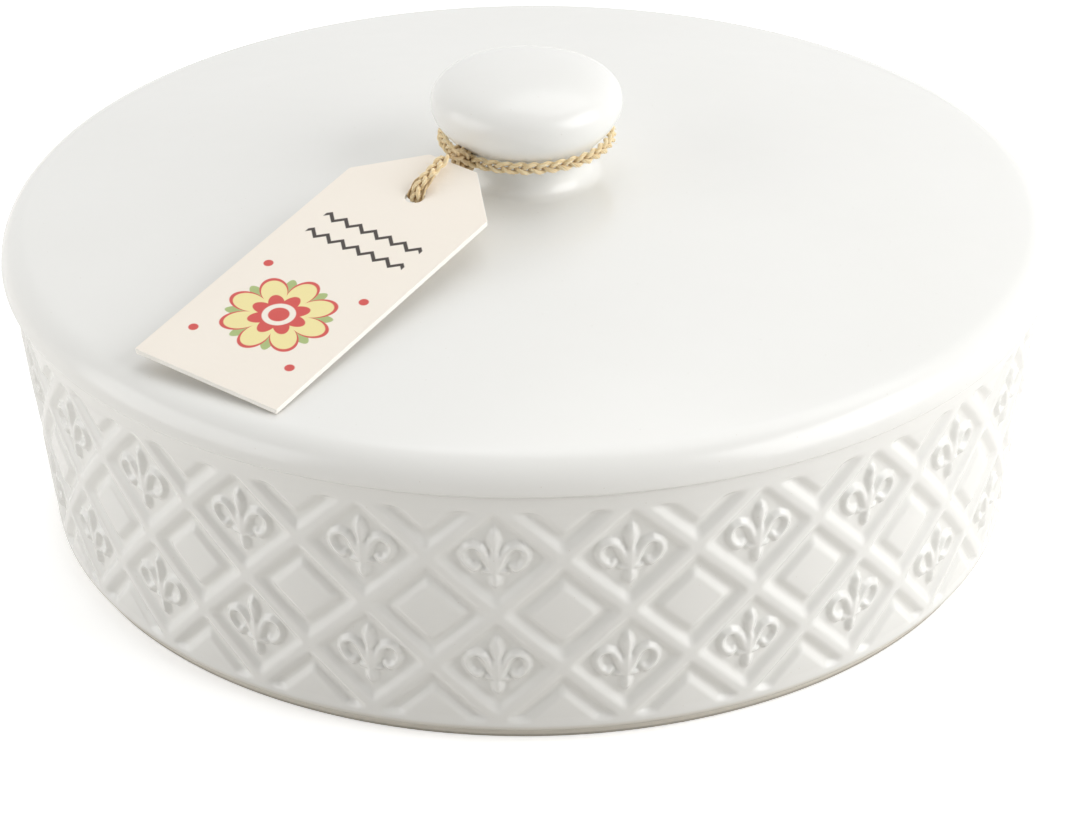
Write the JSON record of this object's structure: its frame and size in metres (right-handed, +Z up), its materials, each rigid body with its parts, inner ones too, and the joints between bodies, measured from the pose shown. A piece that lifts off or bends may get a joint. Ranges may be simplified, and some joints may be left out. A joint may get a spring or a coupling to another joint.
{
  "type": "tortilla warmer",
  "caption": "Round glazed ceramic tortilla warmer with an embossed lattice dish, a domed lid with a flattened ball knob, and a card tag tied on with jute twine.",
  "frame": {"origin": "centre of the dish's foot on the table", "axes": "+Z up along the dish's axis, -Y towards the pictured side, +X to its right"},
  "size_m": [0.24, 0.24, 0.1064],
  "materials": {
    "dish_glaze": "warm white gloss glaze, pooled a little in the relief",
    "lid_glaze": "warm white gloss glaze",
    "jute": "twisted natural jute twine",
    "tag_card": "uncoated cream board with a pale core"
  },
  "bodies": {
    "dish": {"dish": "dish_glaze"},
    "lid": {"lid": "lid_glaze"},
    "twine": {"twine_loop": "jute"},
    "tag": {"tag": "tag_card", "tag_string": "jute"}
  },
  "joints": [
    {"name": "lid_lift", "type": "slide", "parent": "dish", "child": "lid", "axis": [0, 0, 1], "range_m": [0, 0.12]},
    {"name": "tag_swing", "type": "hinge", "parent": "lid", "child": "twine", "pos_m": [0, 0, 0.09], "axis": [0, 0, 1], "continuous": true},
    {"name": "tag_lift", "type": "hinge", "parent": "twine", "child": "tag", "pos_m": [-0.01705, -0.01843, 0.0938], "axis": [-0.8165, 0.5717, 0.0802], "range_deg": [0, 90]}
  ]
}
